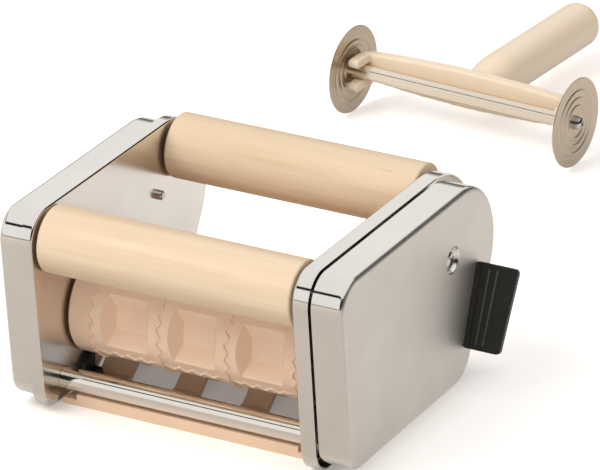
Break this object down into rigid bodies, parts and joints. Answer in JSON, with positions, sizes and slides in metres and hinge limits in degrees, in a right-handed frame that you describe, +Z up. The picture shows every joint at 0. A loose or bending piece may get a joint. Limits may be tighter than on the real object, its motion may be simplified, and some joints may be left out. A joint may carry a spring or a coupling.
{
  "type": "ravioli maker with wheel cutter",
  "caption": "Roller ravioli maker with wooden guide rollers, pocketed forming rollers, polished side casings and a loose double-wheel cutter.",
  "frame": {"origin": "centre of the footprint of the whole set, machine and loose cutter, on the table", "axes": "+X along the rollers to the gear casing, +Y from the machine's front towards the cutter behind it, +Z up"},
  "size_m": [0.2487, 0.5739, 0.115],
  "materials": {
    "black_plastic": "satin black moulded plastic",
    "bright_rod": "polished round bar",
    "bush_plastic": "moulded bearing plastic",
    "comb_plastic": "satin moulded plastic, cream",
    "cutter_rod_steel": "drawn round bar, bright",
    "disc_steel": "pressed thin sheet, satin nickel tone",
    "forming_plastic": "satin moulded plastic, peach",
    "gear_plastic": "moulded white plastic",
    "handle_plastic": "semi-gloss moulded plastic, cream",
    "plain_steel": "turned steel",
    "polished_steel": "polished stainless steel sheet",
    "screw_steel": "nickel plated steel",
    "wood": "smooth sanded pale hardwood, fine grain"
  },
  "bodies": {
    "frame": {"axle_clips": "screw_steel", "base_comb": "comb_plastic", "cover_posts": "plain_steel", "cover_screws": "screw_steel", "front_roller_axle": "plain_steel", "front_tie_rod": "bright_rod", "left_comb_clip": "black_plastic", "left_inner_pan": "polished_steel", "left_outer_cover": "polished_steel", "left_slide_guide": "black_plastic", "rear_roller_axle": "plain_steel", "rear_tie_rod": "bright_rod", "right_comb_clip": "black_plastic", "right_inner_pan": "polished_steel", "right_outer_cover": "polished_steel", "right_slide_guide": "black_plastic", "shaft_bushes": "bush_plastic", "tie_rod_screws": "screw_steel"},
    "front_wood_roller": {"front_wood_roller": "wood"},
    "rear_wood_roller": {"rear_wood_roller": "wood"},
    "front_former": {"front_forming_roller": "forming_plastic", "front_forming_shaft": "plain_steel", "front_gear": "gear_plastic", "front_shaft_clip": "screw_steel", "crank_socket": "plain_steel"},
    "rear_former": {"rear_forming_roller": "forming_plastic", "rear_forming_shaft": "plain_steel", "rear_gear": "gear_plastic", "rear_shaft_clips": "screw_steel"},
    "cutter": {"cutter_handle": "handle_plastic"},
    "cutter_wheels": {"cutter_axle": "cutter_rod_steel", "left_cutter_disc": "disc_steel", "right_cutter_disc": "disc_steel", "disc_hubs": "screw_steel", "cutter_screws": "screw_steel"}
  },
  "joints": [
    {"name": "front_wood_roller_spin", "type": "hinge", "parent": "frame", "child": "front_wood_roller", "pos_m": [0.00189, -0.26722, 0.096], "axis": [1, 0, 0], "continuous": true},
    {"name": "rear_wood_roller_spin", "type": "hinge", "parent": "frame", "child": "rear_wood_roller", "pos_m": [0.00189, -0.13462, 0.0972], "axis": [1, 0, 0], "continuous": true},
    {"name": "front_former_spin", "type": "hinge", "parent": "frame", "child": "front_former", "pos_m": [0.00189, -0.22782, 0.0453], "axis": [1, 0, 0], "continuous": true},
    {"name": "rear_former_spin", "type": "hinge", "parent": "frame", "child": "rear_former", "pos_m": [0.00189, -0.17366, 0.03575], "axis": [1, 0, 0], "continuous": true},
    {"name": "cutter_lift", "type": "slide", "parent": "frame", "child": "cutter", "axis": [0, 0, 1], "range_m": [0, 0.15]},
    {"name": "cutter_wheel_spin", "type": "hinge", "parent": "cutter", "child": "cutter_wheels", "pos_m": [-0.04631, 0.14608, 0.0262], "axis": [0.9971, -0.0758, 0], "continuous": true}
  ],
  "couplings": [
    {"joint": "rear_former_spin", "follows": "front_former_spin", "ratio": -1}
  ]
}
